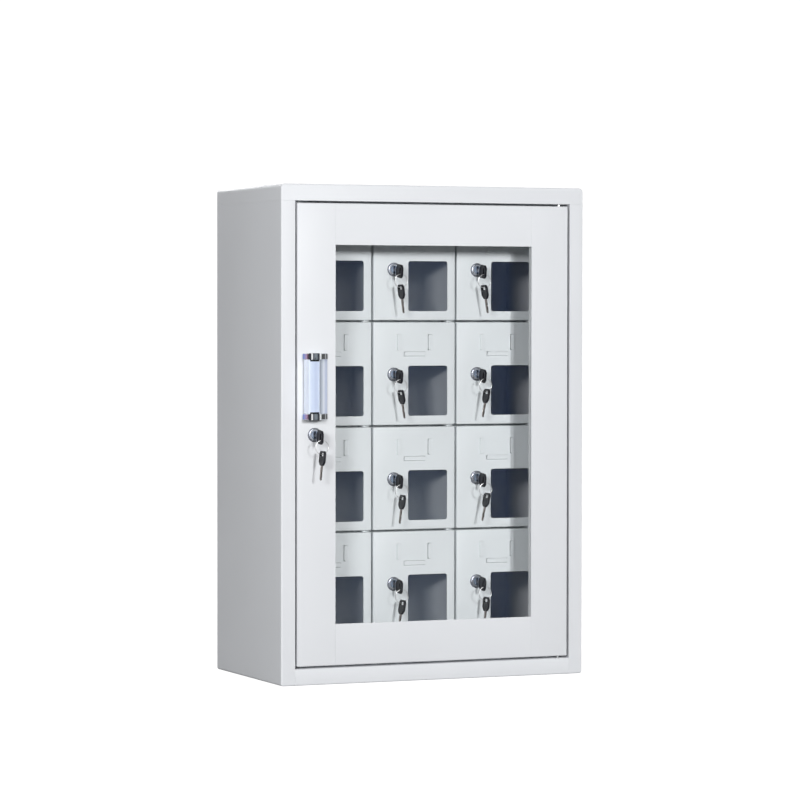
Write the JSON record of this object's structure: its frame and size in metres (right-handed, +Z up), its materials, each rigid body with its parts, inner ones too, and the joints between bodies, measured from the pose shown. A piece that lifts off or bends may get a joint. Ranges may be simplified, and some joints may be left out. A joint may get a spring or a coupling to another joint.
{
  "type": "cell phone locker box",
  "caption": "Upright steel cabinet with a lockable glazed front door over a grid of small locked phone compartments, each with its own windowed door, cam lock and keys.",
  "frame": {"origin": "middle of the cabinet's underside", "axes": "+Z up, -Y out of the front door, +X to the right as seen from the front"},
  "size_m": [0.4, 0.2507, 0.6],
  "materials": {
    "cabinet_paint": "smooth light grey powder coat",
    "inner_paint": "smooth light grey powder coat",
    "bare_steel": "zinc plated",
    "chrome": "polished",
    "lock_metal": "plated",
    "key_plastic": "fine grained moulding",
    "handle_plastic": "translucent",
    "clear_glass": "polished",
    "clear_window": "polished"
  },
  "bodies": {
    "cabinet": {"cabinet_body": "cabinet_paint", "top_cap": "cabinet_paint", "back_panel": "cabinet_paint", "inner_frame": "inner_paint", "compartment_grid": "inner_paint", "pivot_pins": "bare_steel"},
    "glass_door": {"cabinet_door": "cabinet_paint", "door_glass": "clear_glass", "handle_caps": "chrome", "handle_grip": "handle_plastic"},
    "door_lock": {"door_lock_core": "lock_metal"},
    "door_spare": {"door_spare_key": "key_plastic"},
    "compartment_door_11": {"small_door_11": "inner_paint", "window_11": "clear_window"},
    "lock_11": {"lock_core_11": "lock_metal"},
    "spare_11": {"spare_key_11": "key_plastic"},
    "compartment_door_12": {"small_door_12": "inner_paint", "window_12": "clear_window"},
    "lock_12": {"lock_core_12": "lock_metal"},
    "spare_12": {"spare_key_12": "key_plastic"},
    "compartment_door_13": {"small_door_13": "inner_paint", "window_13": "clear_window"},
    "lock_13": {"lock_core_13": "lock_metal"},
    "spare_13": {"spare_key_13": "key_plastic"},
    "compartment_door_21": {"small_door_21": "inner_paint", "window_21": "clear_window"},
    "lock_21": {"lock_core_21": "lock_metal"},
    "spare_21": {"spare_key_21": "key_plastic"},
    "compartment_door_22": {"small_door_22": "inner_paint", "window_22": "clear_window"},
    "lock_22": {"lock_core_22": "lock_metal"},
    "spare_22": {"spare_key_22": "key_plastic"},
    "compartment_door_23": {"small_door_23": "inner_paint", "window_23": "clear_window"},
    "lock_23": {"lock_core_23": "lock_metal"},
    "spare_23": {"spare_key_23": "key_plastic"},
    "compartment_door_31": {"small_door_31": "inner_paint", "window_31": "clear_window"},
    "lock_31": {"lock_core_31": "lock_metal"},
    "spare_31": {"spare_key_31": "key_plastic"},
    "compartment_door_32": {"small_door_32": "inner_paint", "window_32": "clear_window"},
    "lock_32": {"lock_core_32": "lock_metal"},
    "spare_32": {"spare_key_32": "key_plastic"},
    "compartment_door_33": {"small_door_33": "inner_paint", "window_33": "clear_window"},
    "lock_33": {"lock_core_33": "lock_metal"},
    "spare_33": {"spare_key_33": "key_plastic"},
    "compartment_door_41": {"small_door_41": "inner_paint", "window_41": "clear_window"},
    "lock_41": {"lock_core_41": "lock_metal"},
    "spare_41": {"spare_key_41": "key_plastic"},
    "compartment_door_42": {"small_door_42": "inner_paint", "window_42": "clear_window"},
    "lock_42": {"lock_core_42": "lock_metal"},
    "spare_42": {"spare_key_42": "key_plastic"},
    "compartment_door_43": {"small_door_43": "inner_paint", "window_43": "clear_window"},
    "lock_43": {"lock_core_43": "lock_metal"},
    "spare_43": {"spare_key_43": "key_plastic"}
  },
  "joints": [
    {"name": "cabinet_door_swing", "type": "hinge", "parent": "cabinet", "child": "glass_door", "pos_m": [0.1695, -0.104, 0.0212], "axis": [0, 0, 1], "range_deg": [0, 120]},
    {"name": "door_lock_turn", "type": "hinge", "parent": "glass_door", "child": "door_lock", "pos_m": [-0.1575, -0.11, 0.3], "axis": [0, 1, 0], "range_deg": [0, 90]},
    {"name": "door_spare_swing", "type": "hinge", "parent": "door_lock", "child": "door_spare", "pos_m": [-0.1575, -0.1326, 0.29429], "axis": [0, -1, 0], "range_deg": [-30, 30]},
    {"name": "small_door_11_swing", "type": "hinge", "parent": "cabinet", "child": "compartment_door_11", "pos_m": [-0.0652, -0.0435, 0.437], "axis": [0, 0, 1], "range_deg": [0, 100]},
    {"name": "lock_11_turn", "type": "hinge", "parent": "compartment_door_11", "child": "lock_11", "pos_m": [-0.1398, -0.0485, 0.4992], "axis": [0, 1, 0], "range_deg": [0, 90]},
    {"name": "spare_11_swing", "type": "hinge", "parent": "lock_11", "child": "spare_11", "pos_m": [-0.1398, -0.0711, 0.49349], "axis": [0, -1, 0], "range_deg": [-30, 30]},
    {"name": "small_door_12_swing", "type": "hinge", "parent": "cabinet", "child": "compartment_door_12", "pos_m": [0.0468, -0.0435, 0.437], "axis": [0, 0, 1], "range_deg": [0, 100]},
    {"name": "lock_12_turn", "type": "hinge", "parent": "compartment_door_12", "child": "lock_12", "pos_m": [-0.0278, -0.0485, 0.4992], "axis": [0, 1, 0], "range_deg": [0, 90]},
    {"name": "spare_12_swing", "type": "hinge", "parent": "lock_12", "child": "spare_12", "pos_m": [-0.0278, -0.0711, 0.49349], "axis": [0, -1, 0], "range_deg": [-30, 30]},
    {"name": "small_door_13_swing", "type": "hinge", "parent": "cabinet", "child": "compartment_door_13", "pos_m": [0.1588, -0.0435, 0.437], "axis": [0, 0, 1], "range_deg": [0, 70]},
    {"name": "lock_13_turn", "type": "hinge", "parent": "compartment_door_13", "child": "lock_13", "pos_m": [0.0842, -0.0485, 0.4992], "axis": [0, 1, 0], "range_deg": [0, 90]},
    {"name": "spare_13_swing", "type": "hinge", "parent": "lock_13", "child": "spare_13", "pos_m": [0.0842, -0.0711, 0.49349], "axis": [0, -1, 0], "range_deg": [-30, 30]},
    {"name": "small_door_21_swing", "type": "hinge", "parent": "cabinet", "child": "compartment_door_21", "pos_m": [-0.0652, -0.0435, 0.3084], "axis": [0, 0, 1], "range_deg": [0, 100]},
    {"name": "lock_21_turn", "type": "hinge", "parent": "compartment_door_21", "child": "lock_21", "pos_m": [-0.1398, -0.0485, 0.3706], "axis": [0, 1, 0], "range_deg": [0, 90]},
    {"name": "spare_21_swing", "type": "hinge", "parent": "lock_21", "child": "spare_21", "pos_m": [-0.1398, -0.0711, 0.36489], "axis": [0, -1, 0], "range_deg": [-30, 30]},
    {"name": "small_door_22_swing", "type": "hinge", "parent": "cabinet", "child": "compartment_door_22", "pos_m": [0.0468, -0.0435, 0.3084], "axis": [0, 0, 1], "range_deg": [0, 100]},
    {"name": "lock_22_turn", "type": "hinge", "parent": "compartment_door_22", "child": "lock_22", "pos_m": [-0.0278, -0.0485, 0.3706], "axis": [0, 1, 0], "range_deg": [0, 90]},
    {"name": "spare_22_swing", "type": "hinge", "parent": "lock_22", "child": "spare_22", "pos_m": [-0.0278, -0.0711, 0.36489], "axis": [0, -1, 0], "range_deg": [-30, 30]},
    {"name": "small_door_23_swing", "type": "hinge", "parent": "cabinet", "child": "compartment_door_23", "pos_m": [0.1588, -0.0435, 0.3084], "axis": [0, 0, 1], "range_deg": [0, 70]},
    {"name": "lock_23_turn", "type": "hinge", "parent": "compartment_door_23", "child": "lock_23", "pos_m": [0.0842, -0.0485, 0.3706], "axis": [0, 1, 0], "range_deg": [0, 90]},
    {"name": "spare_23_swing", "type": "hinge", "parent": "lock_23", "child": "spare_23", "pos_m": [0.0842, -0.0711, 0.36489], "axis": [0, -1, 0], "range_deg": [-30, 30]},
    {"name": "small_door_31_swing", "type": "hinge", "parent": "cabinet", "child": "compartment_door_31", "pos_m": [-0.0652, -0.0435, 0.1798], "axis": [0, 0, 1], "range_deg": [0, 100]},
    {"name": "lock_31_turn", "type": "hinge", "parent": "compartment_door_31", "child": "lock_31", "pos_m": [-0.1398, -0.0485, 0.242], "axis": [0, 1, 0], "range_deg": [0, 90]},
    {"name": "spare_31_swing", "type": "hinge", "parent": "lock_31", "child": "spare_31", "pos_m": [-0.1398, -0.0711, 0.23629], "axis": [0, -1, 0], "range_deg": [-30, 30]},
    {"name": "small_door_32_swing", "type": "hinge", "parent": "cabinet", "child": "compartment_door_32", "pos_m": [0.0468, -0.0435, 0.1798], "axis": [0, 0, 1], "range_deg": [0, 100]},
    {"name": "lock_32_turn", "type": "hinge", "parent": "compartment_door_32", "child": "lock_32", "pos_m": [-0.0278, -0.0485, 0.242], "axis": [0, 1, 0], "range_deg": [0, 90]},
    {"name": "spare_32_swing", "type": "hinge", "parent": "lock_32", "child": "spare_32", "pos_m": [-0.0278, -0.0711, 0.23629], "axis": [0, -1, 0], "range_deg": [-30, 30]},
    {"name": "small_door_33_swing", "type": "hinge", "parent": "cabinet", "child": "compartment_door_33", "pos_m": [0.1588, -0.0435, 0.1798], "axis": [0, 0, 1], "range_deg": [0, 70]},
    {"name": "lock_33_turn", "type": "hinge", "parent": "compartment_door_33", "child": "lock_33", "pos_m": [0.0842, -0.0485, 0.242], "axis": [0, 1, 0], "range_deg": [0, 90]},
    {"name": "spare_33_swing", "type": "hinge", "parent": "lock_33", "child": "spare_33", "pos_m": [0.0842, -0.0711, 0.23629], "axis": [0, -1, 0], "range_deg": [-30, 30]},
    {"name": "small_door_41_swing", "type": "hinge", "parent": "cabinet", "child": "compartment_door_41", "pos_m": [-0.0652, -0.0435, 0.0512], "axis": [0, 0, 1], "range_deg": [0, 100]},
    {"name": "lock_41_turn", "type": "hinge", "parent": "compartment_door_41", "child": "lock_41", "pos_m": [-0.1398, -0.0485, 0.1134], "axis": [0, 1, 0], "range_deg": [0, 90]},
    {"name": "spare_41_swing", "type": "hinge", "parent": "lock_41", "child": "spare_41", "pos_m": [-0.1398, -0.0711, 0.10769], "axis": [0, -1, 0], "range_deg": [-30, 30]},
    {"name": "small_door_42_swing", "type": "hinge", "parent": "cabinet", "child": "compartment_door_42", "pos_m": [0.0468, -0.0435, 0.0512], "axis": [0, 0, 1], "range_deg": [0, 100]},
    {"name": "lock_42_turn", "type": "hinge", "parent": "compartment_door_42", "child": "lock_42", "pos_m": [-0.0278, -0.0485, 0.1134], "axis": [0, 1, 0], "range_deg": [0, 90]},
    {"name": "spare_42_swing", "type": "hinge", "parent": "lock_42", "child": "spare_42", "pos_m": [-0.0278, -0.0711, 0.10769], "axis": [0, -1, 0], "range_deg": [-30, 30]},
    {"name": "small_door_43_swing", "type": "hinge", "parent": "cabinet", "child": "compartment_door_43", "pos_m": [0.1588, -0.0435, 0.0512], "axis": [0, 0, 1], "range_deg": [0, 70]},
    {"name": "lock_43_turn", "type": "hinge", "parent": "compartment_door_43", "child": "lock_43", "pos_m": [0.0842, -0.0485, 0.1134], "axis": [0, 1, 0], "range_deg": [0, 90]},
    {"name": "spare_43_swing", "type": "hinge", "parent": "lock_43", "child": "spare_43", "pos_m": [0.0842, -0.0711, 0.10769], "axis": [0, -1, 0], "range_deg": [-30, 30]}
  ],
  "couplings": [
    {"joint": "small_door_11_swing", "follows": "cabinet_door_swing", "ratio": 0.8333},
    {"joint": "small_door_12_swing", "follows": "cabinet_door_swing", "ratio": 0.8333},
    {"joint": "small_door_13_swing", "follows": "cabinet_door_swing", "ratio": 0.5833},
    {"joint": "small_door_21_swing", "follows": "cabinet_door_swing", "ratio": 0.8333},
    {"joint": "small_door_22_swing", "follows": "cabinet_door_swing", "ratio": 0.8333},
    {"joint": "small_door_23_swing", "follows": "cabinet_door_swing", "ratio": 0.5833},
    {"joint": "small_door_31_swing", "follows": "cabinet_door_swing", "ratio": 0.8333},
    {"joint": "small_door_32_swing", "follows": "cabinet_door_swing", "ratio": 0.8333},
    {"joint": "small_door_33_swing", "follows": "cabinet_door_swing", "ratio": 0.5833},
    {"joint": "small_door_41_swing", "follows": "cabinet_door_swing", "ratio": 0.8333},
    {"joint": "small_door_42_swing", "follows": "cabinet_door_swing", "ratio": 0.8333},
    {"joint": "small_door_43_swing", "follows": "cabinet_door_swing", "ratio": 0.5833}
  ]
}
